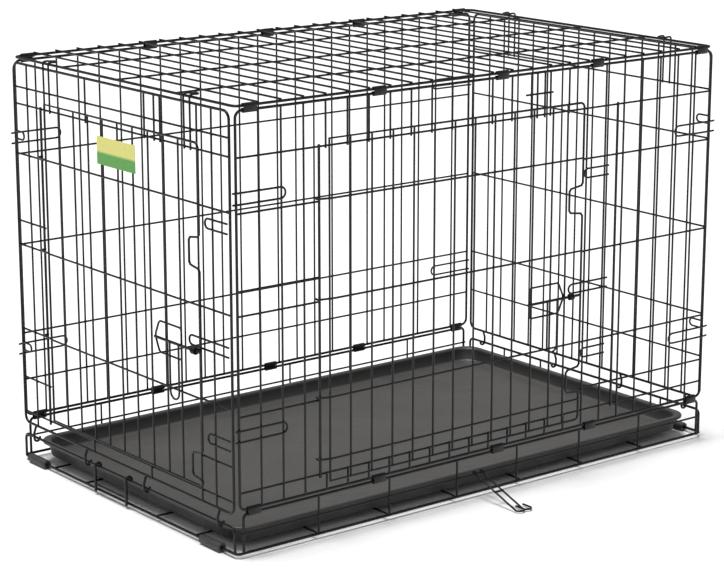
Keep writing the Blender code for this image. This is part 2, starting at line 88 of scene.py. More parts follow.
RAIL_R = 2.05
WIRE_R = 1.55
LAYER = 1.3
WIRE_SIDES = 12
RAIL_SIDES = 16
CORNER_R = 10.0
END_CORNER_R = 12.0
CORNER_STEPS = 8
WALL_X = 450.0
WALL_Y = 284.0
WALL_CORNER_R = 8.0
BASE_MID_W = 1.5

HEADER_Z = 568.0
SILL_Z = 95.0
SIDE_LEVELS = (491.0, 348.0, 205.0)
BACK_LEVELS = (489.0, 347.0, 205.0, 130.0)
RIGHT_END_LEVELS = (570.0, 492.0, 349.0, 206.0, 135.0)
LEFT_END_LEVELS = (492.0, 349.0, 215.0)
LEFT_SILL_Z = 81.0
LEFT_HEADER_Z = 569.0
FRONT_ROD_X = axis_mm("front_door_swing").x - MID_X
LEFT_ROD_Y = axis_mm("left_door_swing").y - MID_Y
FRONT_STIFFENER_X = 253.0
FRONT_JAMB_BAY = 5
LEFT_JAMB_Y = -208.0
ROD_R = 2.0
ROD_W = 1.9
HOOK_W = 4.1
KEEPER_R = 7.0
CORNER_HOOK_LEVELS = (513.0, 179.0)
CORNER_HOOK_BEND_X = 384.0
CORNER_HOOK_R = 8.0
EDGE_HOOK_LEVELS = (521.0, 187.0)
EDGE_HOOK_U = 21.0
EDGE_HOOK_R = 6.0
LOOP_R = 5.0
DOOR_W = 9.5
DOOR_RAIL_R = 1.8
DOOR_LIFT = 5.0
FITTING_W = 10.8
BOLT_W = 15.5
BOLT_R = 2.1
COIL_R = 4.2
PAN_SHEET = 2.2
CLIP_SHEET = 1.1
FLOOR_WIRE_YS = (200.0, 108.0, -85.0, -187.0)
RIGHT_WALL_YS = (191.0, 96.0, -197.0)
FLOOR_WIRE_XS = (-323.6, -194.1, -64.7, 64.7, 194.1, 323.6)
HOOK_EYE_XS = (-25.0, -11.0)


def at(x, y, z):
    """A point given from the crate's own middle in millimetres, in the row's frame in metres."""
    return Vector((x + MID_X, y + MID_Y, z)) * MM


def front_place(u, v, w):
    return at(u, -SIDE_Y - w, v)


def back_place(u, v, w):
    return at(u, SIDE_Y + w, v)


def left_place(u, v, w):
    return at(-END_X - w, u, v)


def right_place(u, v, w):
    return at(END_X + w, u, v)


def top_place(u, v, w):
    return at(u, v, TOP_Z + w)


# ---------------------------------------------------------------- mesh helpers


def arc(centre, radius, start, end, steps=8):
    """Points on an arc in two dimensions, from the start angle to the end angle in degrees."""
    points = []
    for i in range(steps + 1):
        turn = math.radians(start + (end - start) * i / steps)
        points.append((centre[0] + radius * math.cos(turn), centre[1] + radius * math.sin(turn)))
    return points


def rounded_box(low, high, radius, steps=CORNER_STEPS):
    """The outline of a rectangle with round corners."""
    points = []
    corners = ((high[0], high[1], 0), (low[0], high[1], 90), (low[0], low[1], 180), (high[0], low[1], 270))
    for x, y, start in corners:
        centre = (x - math.copysign(radius, x - (low[0] + high[0]) / 2),
                  y - math.copysign(radius, y - (low[1] + high[1]) / 2))
        points += arc(centre, radius, start, start + 90, steps)
    return points


def wire_stations(points, radius, closed):
    """Point, direction and width along a wire; free ends are eased like a cropped, coated wire."""
    count = len(points)
    stations = []
    for i, point in enumerate(points):
        ahead = points[(i + 1) % count] - point if closed or i < count - 1 else None
        behind = point - points[i - 1] if closed or i > 0 else None
        ahead = behind if ahead is None else ahead
        behind = ahead if behind is None else behind
        stations.append((point, (ahead.normalized() + behind.normalized()).normalized(), 1.0))
    if not closed:
        first, last = stations[0], stations[-1]
        ease = radius * 0.35
        stations[0] = (first[0] + first[1] * ease, first[1], 1.0)
        stations[-1] = (last[0] - last[1] * ease, last[1], 1.0)
        stations.insert(0, (first[0], first[1], 0.7))
        stations.append((last[0], last[1], 0.7))
    return stations


def bridge(bm, here, there):
    """Faces between two rings with the same number of points."""
    count = len(here)
    for k in range(count):
        after = (k + 1) % count
        bm.faces.new((here[k], here[after], there[after], there[k]))


def sweep(bm, points, radius, sides, closed=False):
    """A round wire along a path, its section carried along without twisting."""
    stations = wire_stations(points, radius, closed)
    normal = stations[0][1].orthogonal().normalized()
    before = stations[0][1]
    rings = []
    for point, tangent, width in stations:
        normal = before.rotation_difference(tangent) @ normal
        normal = (normal - tangent * normal.dot(tangent)).normalized()
        side = tangent.cross(normal)
        before = tangent
        ring = []
        for k in range(sides):
            turn = math.tau * k / sides
            offset = normal * math.cos(turn) + side * math.sin(turn)
            ring.append(bm.verts.new(point + offset * (radius * width)))
        rings.append(ring)
    for here, there in zip(rings, rings[1:]):
        bridge(bm, here, there)
    if closed:
        bridge(bm, rings[-1], rings[0])
    else:
        bm.faces.new(rings[0][::-1])
        bm.faces.new(rings[-1])


def finish_mesh(name, bm, material, body, nodes, sharp=35.0):
    """A new piece from a mesh, riding on its body in place of its CAD nodes."""
    bmesh.ops.recalc_face_normals(bm, faces=bm.faces)
    mesh = bpy.data.meshes.new(name)
    bm.to_mesh(mesh)
    bm.free()
    mesh.materials.append(material)
    mesh.shade_smooth()
    mesh.set_sharp_from_angle(angle=math.radians(sharp))
    piece = bpy.data.objects.new(name, mesh)
    bpy.context.scene.collection.objects.link(piece)
    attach(piece, body)
    if nodes:
        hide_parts(*nodes)
    return piece


class Weldment:
    """Round wires drawn in a flat panel's (u, v, w), with a small nugget at each weld."""

    def __init__(self, place):
        self.place = place
        self.bm = bmesh.new()
        self.uprights = []
        self.levels = []

    def add(self, points, radius=WIRE_R, sides=WIRE_SIDES, closed=False):
        sweep(self.bm, [self.place(*point) for point in points], radius * MM, sides, closed)

    def flat(self, points, w=0.0, radius=WIRE_R, sides=WIRE_SIDES, closed=False):
        self.add([(u, v, w) for u, v in points], radius, sides, closed)

    def rail(self, points, w=0.0, radius=RAIL_R, closed=False):
        self.flat(points, w, radius, RAIL_SIDES, closed)

    def upright(self, u, low, high, w=LAYER):
        self.flat(((u, low), (u, high)), w)
        self.uprights.append((u, low, high))

    def across(self, v, low, high, w=-LAYER):
        self.flat(((low, v), (high, v)), w)
        self.levels.append((v, low, high))

    def nuggets(self, w=0.0):
        """Squashed beads of melted steel where an upright is welded to a wire across it."""
        for v, low, high in self.levels:
            for u, bottom, top in self.uprights:
                if low <= u <= high and bottom <= v <= top:
                    made = bmesh.ops.create_uvsphere(self.bm, u_segments=10, v_segments=6, radius=1.0)
                    centre = self.place(u, v, w)
                    reach = self.place(u + 1.0, v + 1.0, w + 0.8) - centre
                    scale = [abs(value) * WIRE_R * 1.22 for value in reach]
                    bmesh.ops.scale(self.bm, verts=made["verts"], vec=scale)
                    bmesh.ops.translate(self.bm, verts=made["verts"], vec=centre)

    def build(self, name, material, body, *nodes):
        return finish_mesh(name, self.bm, material, body, nodes)


def bay(number):
    return number * PITCH


# ---------------------------------------------------------------- materials


class Shading:
    """A material with a Principled shader, and short names for the nodes that feed it."""

    def __init__(self, name):
        self.material = bpy.data.materials.new(name)
        self.material.use_nodes = True
        self.tree = self.material.node_tree
        self.shader = self.tree.nodes["Principled BSDF"]

    def node(self, kind, **values):
        made = self.tree.nodes.new(kind)
        for key, value in values.items():
            made.inputs[key].default_value = value
        return made

    def link(self, source, output, target, slot):
        self.tree.links.new(source.outputs[output], target.inputs[slot])

    def set(self, **values):
        for key, value in values.items():
            self.shader.inputs[key.replace("_", " ")].default_value = value

    def place(self):
        return self.node("ShaderNodeTexCoord")

    def noise(self, scale, detail=3.0, roughness=0.55):
        made = self.node("ShaderNodeTexNoise", Scale=scale, Detail=detail, Roughness=roughness)
        self.link(self.place(), "Object", made, "Vector")
        return made

    def ramp(self, source, low, high, start, end):
        """Turn a factor between low and high into a colour between start and end."""
        made = self.node("ShaderNodeValToRGB")
        made.color_ramp.elements[0].position = low
        made.color_ramp.elements[1].position = high
        made.color_ramp.elements[0].color = (*start, 1.0)
        made.color_ramp.elements[1].color = (*end, 1.0)
        self.link(source, 0, made, 0)
        return made

    def spread(self, source, low, high):
        """Turn a factor of about 0.3 to 0.7 into a number between low and high."""
        made = self.node("ShaderNodeMapRange")
        made.inputs["From Min"].default_value = 0.3
        made.inputs["From Max"].default_value = 0.7
        made.inputs["To Min"].default_value = low
        made.inputs["To Max"].default_value = high
        self.link(source, 0, made, "Value")
        return made

    def multiply(self, one, other):
        """Colour the piece with the product of two colours."""
        mix = self.node("ShaderNodeMix")
        mix.data_type = "RGBA"
        mix.blend_type = "MULTIPLY"
        mix.inputs[0].default_value = 1.0
        self.tree.links.new(one.outputs[0], mix.inputs[6])
        self.tree.links.new(other.outputs[0], mix.inputs[7])
        self.tree.links.new(mix.outputs[2], self.shader.inputs["Base Color"])

    def bump(self, source, distance, strength=0.3):
        made = self.node("ShaderNodeBump", Strength=strength, Distance=distance)
        self.link(source, 0, made, "Height")
        self.link(made, 0, self.shader, "Normal")


def coated_steel(name, dark, pale, gloss):
    """Black electro-coat: thin, glossy and slightly uneven, with a faint orange peel."""
    shading = Shading(name)
    tone = shading.ramp(shading.noise(55.0), 0.35, 0.7, dark, pale)
    shading.link(tone, 0, shading.shader, "Base Color")
    shading.link(shading.spread(shading.noise(140.0), gloss, gloss + 0.12), 0, shading.shader, "Roughness")
    shading.bump(shading.noise(900.0, 2.0), 0.0002, 0.25)
    shading.set(Specular_IOR_Level=0.28)
    return shading.material


def pan_plastic():
    """Moulded black plastic with a fine grain and faint flow marks, and painted shade: dark on the steep walls,
    paler where it faces up.
    """
    shading = Shading("pan_moulded_plastic")
    geometry = shading.node("ShaderNodeNewGeometry")
    facing = shading.node("ShaderNodeSeparateXYZ")
    shading.link(geometry, "Normal", facing, 0)
    height = shading.node("ShaderNodeMapRange")
    shading.link(facing, "Z", height, "Value")
    # Painted shade: the colour is darker where the surface faces sideways or down and paler where it faces up,
    # standing in for the shadow on the pan's walls.
    painted_facing_shade = shading.ramp(height, 0.25, 0.95, (0.017, 0.017, 0.017), (0.072, 0.070, 0.066))
    flow = shading.ramp(shading.noise(9.0, 5.0), 0.35, 0.75, (0.82, 0.82, 0.82), (1.0, 1.0, 1.0))
    shading.multiply(painted_facing_shade, flow)
    shading.link(shading.spread(shading.noise(30.0), 0.38, 0.52), 0, shading.shader, "Roughness")
    shading.bump(shading.noise(1600.0, 2.0), 0.0003, 0.35)
    shading.set(Specular_IOR_Level=0.5)
    return shading.material


def foot_plastic():
    shading = Shading("foot_soft_plastic")
    tone = shading.ramp(shading.noise(120.0), 0.35, 0.7, (0.032, 0.032, 0.034), (0.048, 0.048, 0.050))
    shading.link(tone, 0, shading.shader, "Base Color")
    shading.link(shading.spread(shading.noise(300.0), 0.5, 0.65), 0, shading.shader, "Roughness")
    shading.bump(shading.noise(1800.0, 2.0), 0.0002, 0.3)
    return shading.material


def card_print():
    """A printed card: a yellow upper band over a green lower one, with a faint paper mottle."""
    shading = Shading("card_two_colour_print")
    split = shading.node("ShaderNodeSeparateXYZ")
    shading.link(shading.place(), "Generated", split, 0)
    bands = shading.node("ShaderNodeValToRGB")
    bands.color_ramp.interpolation = "CONSTANT"
    bands.color_ramp.elements[0].color = (0.09, 0.36, 0.05, 1.0)
    bands.color_ramp.elements[1].position = 0.47
    bands.color_ramp.elements[1].color = (0.78, 0.74, 0.20, 1.0)
    stripe = bands.color_ramp.elements.new(0.42)
    stripe.color = (0.40, 0.58, 0.16, 1.0)
    shading.link(split, "Z", bands, 0)
    mottle = shading.ramp(shading.noise(260.0), 0.3, 0.7, (0.90, 0.90, 0.90), (1.0, 1.0, 1.0))
    shading.multiply(bands, mottle)
    shading.link(shading.spread(shading.noise(500.0), 0.35, 0.5), 0, shading.shader, "Roughness")
    shading.bump(shading.noise(1200.0, 2.0), 0.00005, 0.2)
    return shading.material


def floor_paper():
    shading = Shading("floor_white")
    tone = shading.ramp(shading.noise(0.6), 0.3, 0.7, (0.90, 0.90, 0.90), (0.93, 0.93, 0.93))
    shading.link(tone, 0, shading.shader, "Base Color")
    shading.set(Roughness=0.6, Specular_IOR_Level=0.2)
    return shading.material


# ---------------------------------------------------------------- side panels and top


def side_frame(panel):
    outline = rounded_box((-POST_X, SIDE_BOTTOM_Z), (POST_X, SIDE_TOP_Z), CORNER_R)
    panel.rail(outline, closed=True)


def corner_hooks(panel):
    """U-shaped hooks at the side's four corners, their tips turned in round the end's post."""
    for end in (-1, 1):
        tip = end * (POST_X + 8.0)
        heel = end * (POST_X + 1.0)
        for v in CORNER_HOOK_LEVELS:
            low, high = v - CORNER_HOOK_R, v + CORNER_HOOK_R
            bend = arc((CORNER_HOOK_BEND_X, v), CORNER_HOOK_R, 270, 90)
            path = [(tip, low, HOOK_W - 1.5), (heel, low, HOOK_W)]
            path += [(end * u, y, HOOK_W) for u, y in bend]
            path += [(heel, high, HOOK_W), (tip, high, HOOK_W - 1.5)]
            panel.add(path)


def make_back_side(steel):
    panel = Weldment(back_place)
    side_frame(panel)
    for level in BACK_LEVELS:
        panel.across(level, -POST_X, POST_X)
    for number in range(-LAST_BAY, LAST_BAY + 1):
        panel.upright(bay(number), SIDE_BOTTOM_Z, SIDE_TOP_Z)
    corner_hooks(panel)
    panel.nuggets()
    panel.build("back_side_wires", steel, "back_side", "back_side")


def front_door_keepers(panel):
    for v, nose, root in ((470.0, 184.0, 235.0), (294.0, 156.0, 237.0), (189.0, 184.0, 234.0)):
        bend = arc((nose + KEEPER_R, v), KEEPER_R, 90, 270)
        panel.flat([(root, v + KEEPER_R), *bend, (root, v - KEEPER_R)], HOOK_W)


def make_front_side(steel):
    panel = Weldment(front_place)
    side_frame(panel)
    panel.across(HEADER_Z, -POST_X, POST_X)
    panel.across(SILL_Z, -POST_X, POST_X)
    for level in (*SIDE_LEVELS, 383.0):
        panel.across(level, -POST_X, FRONT_ROD_X)
    for level in (*SIDE_LEVELS, 131.0):
        panel.across(level, bay(FRONT_JAMB_BAY) - 3.0, POST_X)
    for number in range(-LAST_BAY, LAST_BAY + 1):
        if -8 <= number < FRONT_JAMB_BAY:
            panel.upright(bay(number), SIDE_BOTTOM_Z, SILL_Z + 3.0)
            panel.upright(bay(number), HEADER_Z - 3.0, SIDE_TOP_Z)
        else:
            panel.upright(bay(number), SIDE_BOTTOM_Z, SIDE_TOP_Z)
    for x in (FRONT_ROD_X, FRONT_STIFFENER_X):
        panel.flat(((x, SILL_Z - 4.0), (x, HEADER_Z + 4.0)), ROD_W, ROD_R)
    for x in (88.0, 103.0):
        panel.upright(x, HEADER_Z - 4.0, SIDE_TOP_Z)
    panel.across(600.0, 68.0, 122.0)
    corner_hooks(panel)
    front_door_keepers(panel)
    panel.nuggets()
    panel.build("front_side_wires", steel, "front_side", "front_side")


def make_top(steel):
    panel = Weldment(top_place)
    outline = rounded_box((-POST_X, -SIDE_Y), (POST_X, SIDE_Y), CORNER_R)
    panel.rail(outline, closed=True)
    for y in (-150.0, 0.0, 150.0):
        panel.across(y, -POST_X, POST_X, 0.6)
    for number in range(-LAST_BAY, LAST_BAY + 1):
        panel.upright(bay(number), -SIDE_Y - 3.0, SIDE_Y + 3.0, 3.0)
    panel.nuggets(1.8)
    panel.build("top_panel_wires", steel, "top_panel", "top_panel")


# ---------------------------------------------------------------- ends


# ---------------------------------------------------------------- end panels


def end_frame(panel):
    outline = rounded_box((-END_POST_Y, END_BOTTOM_Z), (END_POST_Y, END_TOP_Z), END_CORNER_R)
    panel.rail(outline, closed=True)


def hinge_hooks(panel, ys):
    """J-shaped hooks under an end, bent round the base's end rail, on which the end turns."""
    for y in ys:
        bend = arc((0.0, END_HINGE_Z), LOOP_R, 0, -200, 12)
        path = [(y, END_BOTTOM_Z, 1.0), (y, END_HINGE_Z + 9.0, LOOP_R)]
        path += [(y, v, w) for w, v in bend]
        panel.add(path, 1.9)


def top_hooks(panel, ys, low):
    """U-shaped hooks that rise from the header and turn in over the top panel's end rail."""
    half = 7.5
    crown = TOP_Z + 6.0
    for y in ys:
        over = arc((-1.8, crown - 5.0), 3.5, 0, 90, 5)
        leg = [(low, LAYER), *[(v, w) for w, v in over], (crown - 1.5, -7.0), (crown - 2.0, -9.0)]
        path = [(y - half, v, w) for v, w in leg]
        nose = arc((y, -9.0), half, 180, 360, 8)
        path += [(u, crown - 2.0, w) for u, w in nose[1:-1]]
        path += [(y + half, v, w) for v, w in reversed(leg)]
        panel.add(path)


def edge_hooks(panel, post_u):
    """Flat D-shaped hooks on an end's post, which the side's corner hooks pass through."""
    inwards = math.copysign(1.0, -post_u)
    for v in EDGE_HOOK_LEVELS:
        bend = [(post_u + inwards * u, y) for u, y in arc((EDGE_HOOK_U, v), EDGE_HOOK_R, 90, -90)]
        panel.flat([(post_u, v + EDGE_HOOK_R), *bend, (post_u, v - EDGE_HOOK_R)], LAYER)


def make_right_end(steel):
    panel = Weldment(right_place)
    end_frame(panel)
    for level in RIGHT_END_LEVELS:
        panel.across(level, -END_POST_Y, END_POST_Y)
    for number in range(7):
        y = 18.6 + number * 37.2
        panel.upright(y, END_BOTTOM_Z, END_TOP_Z)
        panel.upright(-y, END_BOTTOM_Z, END_TOP_Z)
    top_hooks(panel, (-185.9, 185.9), RIGHT_END_LEVELS[0] - 3.0)
    edge_hooks(panel, -END_POST_Y)
    hinge_hooks(panel, (-250.0, -100.0, 62.0, 250.0))
    panel.nuggets()
    panel.build("right_end_wires", steel, "right_end", "right_end")


def left_door_keepers(panel):
    root = 1.0 - END_POST_Y
    for v, nose in ((471.0, -229.0), (298.0, -186.0), (164.0, -229.0)):
        bend = arc((nose - KEEPER_R, v), KEEPER_R, 90, -90)
        panel.flat([(root, v + KEEPER_R), *bend, (root, v - KEEPER_R)], HOOK_W)


def make_left_end(steel):
    panel = Weldment(left_place)
    end_frame(panel)
    for level in (595.0, LEFT_HEADER_Z, LEFT_SILL_Z):
        panel.across(level, -END_POST_Y, END_POST_Y)
    for level in (*LEFT_END_LEVELS, 387.0, 137.0):
        panel.across(level, LEFT_ROD_Y, END_POST_Y)
    for level in (*LEFT_END_LEVELS, 132.0):
        panel.across(level, -END_POST_Y, LEFT_JAMB_Y + 3.0)
    for y in (-243.0, LEFT_JAMB_Y, 243.0):
        panel.upright(y, END_BOTTOM_Z, END_TOP_Z)
    for y in (-78.0, 78.0):
        panel.upright(y, END_BOTTOM_Z, LEFT_SILL_Z + 3.0)
        panel.upright(y, LEFT_HEADER_Z - 3.0, END_TOP_Z)
    for y in (-118.0, -103.0):
        panel.upright(y, LEFT_HEADER_Z - 3.0, END_TOP_Z)
    top_hooks(panel, (-185.5, 185.5), LEFT_HEADER_Z - 3.0)
    panel.flat(((LEFT_ROD_Y, LEFT_SILL_Z - 4.0), (LEFT_ROD_Y, LEFT_HEADER_Z + 4.0)), ROD_W, ROD_R)
    left_door_keepers(panel)
    edge_hooks(panel, END_POST_Y)
    hinge_hooks(panel, (250.0, 100.0, -62.0, -250.0))
    panel.nuggets()
    panel.build("left_end_wires", steel, "left_end", "left_end")


# ---------------------------------------------------------------- doors and bolts


def door_outline(hinge_u, latch_u, notch_u, low, high, notches):
    """A door's frame: round corners on the latch side, and a step inwards at each notch."""
    toward = math.copysign(1.0, hinge_u - latch_u)
    radius = 8.0
    centre_u = latch_u + toward * radius
    points = [(hinge_u, high), (hinge_u, low)]
    points += [(centre_u - toward * u, low + radius + v) for u, v in arc((0.0, 0.0), radius, -90, 0)]
    for bottom, top in notches:
        points += [(latch_u, bottom - 8.0), (latch_u + toward * 3.0, bottom - 4.0),
                   (notch_u - toward * 3.0, bottom - 1.0), (notch_u, bottom + 3.0),
                   (notch_u, top - 3.0), (notch_u - toward * 3.0, top + 1.0),
                   (latch_u + toward * 3.0, top + 4.0), (latch_u, top + 8.0)]
    points += [(centre_u - toward * u, high - radius + v) for u, v in arc((0.0, 0.0), radius, 0, 90)]
    return points


def hinge_loops(door, rod_u, frame_u, levels):
    """Loops that carry a door on its hinge rod."""
    toward = math.copysign(1.0, rod_u - frame_u)
    for v in levels:
        bend = arc((0.0, ROD_W), LOOP_R, 90, 235, 10)
        path = [(frame_u, v, DOOR_W)]
        path += [(rod_u - toward * u, v, w) for u, w in bend]
        door.add(path)


def latch_guide(door, back_u, nose_u, low, high):
    """The flat wire loop that guides the slide bolt, drawn out to a blunt point at its nose."""
    ease = 4.0
    point = nose_u + 2 * ease
    middle = (low + high) / 2
    corners = [(nose_u - ease, low), (nose_u, low + 3.0), (point, middle - 3.0),
               (point, middle + 3.0), (nose_u, high - 3.0), (nose_u - ease, high),
               (back_u + ease, high), (back_u + ease * 0.3, high - 1.2), (back_u, high - 4.0),
               (back_u, low + 4.0), (back_u + ease * 0.3, low + 1.2), (back_u + ease, low)]
    door.flat(corners, FITTING_W, closed=True)


def make_front_door(steel):
    door = Weldment(front_place)
    hinge_x, latch_x, notch_x, low, high = -304.8, 176.0, 149.0, 86.0, 580.0
    levels = [level + DOOR_LIFT for level in (*SIDE_LEVELS, 114.0)]
    outline = door_outline(hinge_x, latch_x, notch_x, low, high, ((134.0, 167.0), (415.0, 450.0)))
    door.rail(outline, DOOR_W, DOOR_RAIL_R, closed=True)
    for level in levels:
        door.across(level, hinge_x, latch_x, FITTING_W)
    latch_guide(door, 70.0, 130.0, 263.0, 310.0)
    for number in range(-7, 4):
        door.upright(bay(number), low, high, DOOR_W - LAYER)
    door.upright(notch_x - 5.0, low, high, DOOR_W - LAYER)
    hinge_loops(door, FRONT_ROD_X, hinge_x, levels)
    door.nuggets(DOOR_W)
    door.build("front_door_wires", steel, "front_door", "front_door")


def make_left_door(steel):
    door = Weldment(left_place)
    hinge_y, latch_y, notch_y, low, high = 180.0, -222.0, -197.0, 91.0, 581.0
    levels = [level + DOOR_LIFT for level in LEFT_END_LEVELS]
    outline = door_outline(hinge_y, latch_y, notch_y, low, high, ((104.0, 136.0), (409.0, 446.0)))
    door.rail(outline, DOOR_W, DOOR_RAIL_R, closed=True)
    for level in levels:
        door.across(level, latch_y, hinge_y, FITTING_W)
    latch_guide(door, -176.0, -119.0, 266.0, 312.0)
    for number in range(1, 9):
        door.upright(hinge_y - number * 39.5, low, high, DOOR_W - LAYER)
    door.upright(-172.0, low, high, DOOR_W - LAYER)
    hinge_loops(door, LEFT_ROD_Y, hinge_y, levels)
    door.nuggets(DOOR_W)
    door.build("left_door_wires", steel, "left_door", "left_door")


def make_bolt(name, place, tip_u, tail_u, handle_us, v, steel):
    """A slide bolt with the U-shaped pull that hangs from it, and the coil where they join."""
    bolt = Weldment(place)
    bolt.rail(((tip_u, v), (tail_u, v)), BOLT_W, BOLT_R)
    left, right = sorted(handle_us)
    curve = arc(((left + right) / 2, v - 70.0), (right - left) / 2, 180, 360)
    bolt.flat([(left, v), *curve, (right, v)], BOLT_W + LAYER + 0.6)
    toward = math.copysign(1.0, tip_u - tail_u)
    coil = []
    for step in range(49):
        turn = math.tau * step / 16
        along = tip_u - toward * (22.0 - 3.4 * step / 16)
        coil.append((along, v + COIL_R * math.cos(turn), BOLT_W + COIL_R * math.sin(turn)))
    bolt.add(coil, 1.3)
    bolt.build(name + "_wires", steel, name, name)


# ---------------------------------------------------------------- base, hooks, pan, feet, clips


def make_base(steel):
    base = Weldment(at)
    ring = rounded_box((-END_X, -SIDE_Y), (END_X, SIDE_Y), WALL_CORNER_R)
    base.add([(x, y, FLOOR_RAIL_Z) for x, y in ring], RAIL_R, RAIL_SIDES, True)
    for side in (-1, 1):
        wall = arc((WALL_X - WALL_CORNER_R, BASE_TOP_Z - WALL_CORNER_R), WALL_CORNER_R, 0, 90)
        legs = [(x, side * SIDE_Y, z) for x, z in [(WALL_X, FLOOR_RAIL_Z), *wall]]
        base.add(legs + [(-x, y, z) for x, y, z in reversed(legs)], RAIL_R, RAIL_SIDES)
        wall = arc((WALL_Y - WALL_CORNER_R, END_HINGE_Z - WALL_CORNER_R), WALL_CORNER_R, 0, 90)
        legs = [(side * END_X, y, z) for y, z in [(WALL_Y, FLOOR_RAIL_Z), *wall]]
        base.add(legs + [(x, -y, z) for x, y, z in reversed(legs)], RAIL_R, RAIL_SIDES)
        mid = side * (SIDE_Y + BASE_MID_W)
        base.add(((-POST_X, mid, BASE_MID_Z), (POST_X, mid, BASE_MID_Z)))
    for y in FLOOR_WIRE_YS:
        base.add(((-END_X, y, FLOOR_RAIL_Z + 0.5), (END_X, y, FLOOR_RAIL_Z + 0.5)))
    for x in FLOOR_WIRE_XS:
        level = FLOOR_RAIL_Z + 2.9
        base.add(((x, -SIDE_Y - 1.5, level), (x, SIDE_Y + 1.5, level)))
        beside = x - math.copysign(5.0, x)
        for y in (-SIDE_Y, SIDE_Y):
            base.add(((beside, y, FLOOR_RAIL_Z), (beside, y, BASE_TOP_Z)))
    for y in RIGHT_WALL_YS:
        base.add(((END_X, y, FLOOR_RAIL_Z), (END_X, y, END_HINGE_Z)))
    walls = [name for name in frame["nodes"] if name.startswith("base_wall_")]
    base.build("base_wires", steel, "base", "base_frame", *walls)


def make_pan_stop(steel):
    stop = Weldment(at)
    outside = -END_X - LOOP_R
    for y in (72.0, -13.0):
        bend = arc((-END_X, END_HINGE_Z), LOOP_R, 180, -20, 12)
        stop.add([(outside, y, 5.0), *[(x, y, z) for x, z in bend]], 2.2)
    stop.add(((outside + 0.7, -16.0, 16.0), (outside + 0.7, 75.0, 16.0)))
    stop.build("pan_stop_wires", steel, "pan_stop", "pan_stop")


def make_closing_hook(steel):
    hook = Weldment(at)
    pivot_y = -SIDE_Y - BASE_MID_W
    reach = 92.0
    tip_z = 3.4
    for x in HOOK_EYE_XS:
        path = [(x, y, z) for y, z in arc((pivot_y, BASE_MID_Z), 4.2, -20, 200, 12)]
        path.append((x, pivot_y - reach, tip_z))
        curl = arc((x + 7.0, pivot_y - reach), 7.0, 180, 360, 10)
        path += [(u, y, tip_z) for u, y in curl[1:]]
        path.append((x + 14.0, pivot_y - reach + 16.0, tip_z))
        hook.add(path)
    half_y = pivot_y - reach * 0.5
    half_z = BASE_MID_Z - (BASE_MID_Z - tip_z) * 0.5
    hook.add(((HOOK_EYE_XS[0] - 2.0, half_y, half_z), (HOOK_EYE_XS[1] + 2.0, half_y, half_z)))
    hook.build("closing_hook_wires", steel, "closing_hook", "closing_hook")


def make_pan(plastic):
    """A moulded tray: sloping walls, an eased floor corner and a rolled rim."""
    low, high = box_mm("pan")
    half_x = (high.x - low.x) / 2
    half_y = (high.y - low.y) / 2
    floor, rim = low.z, high.z
    sheet = PAN_SHEET
    profile = [(12.0, floor), (9.6, floor + 0.8), (6.6, rim - 5.5), (5.6, rim - 3.4), (3.0, rim - 3.2),
               (2.4, rim - 5.0), (0.4, rim - 5.0), (0.0, rim - 2.4), (0.9, rim - 0.6), (3.0, rim),
               (7.6, rim - 0.2), (9.6, rim - 1.6), (10.6, rim - 4.6), (13.5, floor + sheet + 3.0),
               (15.5, floor + sheet + 1.0), (19.0, floor + sheet)]
    bm = bmesh.new()
    rings = []
    for inset, z in profile:
        outline = rounded_box((-half_x + inset, -half_y + inset), (half_x - inset, half_y - inset), 30.0, 10)
        rings.append([bm.verts.new(at(x, y, z)) for x, y in outline])
    for here, there in zip(rings, rings[1:]):
        bridge(bm, here, there)
    bm.faces.new(rings[0])
    bm.faces.new(rings[-1])
    finish_mesh("pan_tray", bm, plastic, "pan", ["pan"], 50.0)


def make_foot(node, plastic):
    """A sleeve with eased ends, round the base's end rail."""
    low, high = box_mm(node)
    centre = (low + high) / 2
    half = (high.y - low.y) / 2
    radius = (high.z - low.z) / 2
    sides = 32
    profile = ((3.2, half - 0.3), (radius - 1.2, half), (radius - 0.3, half - 0.5), (radius, half - 1.6))
    stations = [(r, y) for r, y in profile] + [(r, -y) for r, y in reversed(profile)]
    bm = bmesh.new()
    rings = []
    for r, y in stations:
        ring = []
        for k in range(sides):
            turn = math.tau * k / sides
            point = Vector((centre.x + r * math.sin(turn), centre.y + y, centre.z + r * math.cos(turn)))
            ring.append(bm.verts.new(point * MM))
        rings.append(ring)
    for i, here in enumerate(rings):
        bridge(bm, here, rings[(i + 1) % len(rings)])
    finish_mesh(node + "_sleeve", bm, plastic, "base", [node])


def make_clip(node, body, steel):
    """A rolled sheet clip round two rails, with eased edges and a seam on its inner side."""
    low, high = box_mm(node)
    centre = (low + high) / 2
    outer = (high.y - low.y) / 2
    rise = (high.z - low.z) / 2 - outer
    inwards = math.copysign(1.0, MID_Y - centre.y)
    outline = []
    for radius in (outer, outer - CLIP_SHEET):
        bend = [(radius, 0.5)]
        bend += arc((0.0, rise), radius, 0, 180, 10)
        bend += arc((0.0, -rise), radius, 180, 360, 10)
        bend.append((radius, -0.5))
        outline.append(bend)
    section = outline[0] + outline[1][::-1]
    half = (high.x - low.x) / 2
    bm = bmesh.new()
    rings = []
    eased_ends = ((-half, 0.25), (-half + 0.3, 0.0), (half - 0.3, 0.0), (half, 0.25))
    for end, ease in eased_ends:
        ring = []
        for w, z in section:
            length = math.hypot(w, z)
            scale = 1.0 - ease / length
            point = Vector((centre.x + end, centre.y + inwards * w * scale, centre.z + z * scale))
            ring.append(bm.verts.new(point * MM))
        rings.append(ring)
    for here, there in zip(rings, rings[1:]):
        bridge(bm, here, there)
    bm.faces.new(rings[0])
    bm.faces.new(rings[-1])
    finish_mesh(node + "_sheet", bm, steel, body, [node])


